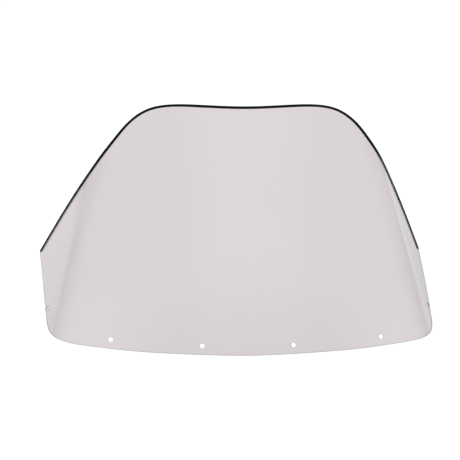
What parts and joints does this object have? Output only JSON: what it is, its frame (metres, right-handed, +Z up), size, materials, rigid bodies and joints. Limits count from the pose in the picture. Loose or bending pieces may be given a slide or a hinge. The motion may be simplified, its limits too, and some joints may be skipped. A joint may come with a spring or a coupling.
{
  "type": "windshield screen",
  "caption": "Raked wraparound windshield screen of clear, lightly smoked plastic with bent side wings, a black channel trim on the top edge and bare mounting holes along the bottom.",
  "frame": {"origin": "on the floor plane under the middle of the screen's box: x = 0 is the plane of symmetry, y = 0 is half way between the foremost and rearmost points, z = 0 is the lowest point of the bottom edge", "axes": "+Z up, -Y towards the front (the side the wind meets), +X to the right as seen from the front; the front's centre line leans back 40 degrees from vertical"},
  "size_m": [0.6316, 0.2664, 0.3116],
  "materials": {
    "clear_sheet": "polished, transparent, light smoke tint",
    "black_trim": "satin black flexible vinyl",
    "adhesive": "cured black contact adhesive"
  },
  "bodies": {
    "root": {"screen_sheet": "clear_sheet", "edge_trim": "black_trim", "trim_adhesive": "adhesive"}
  },
  "joints": []
}
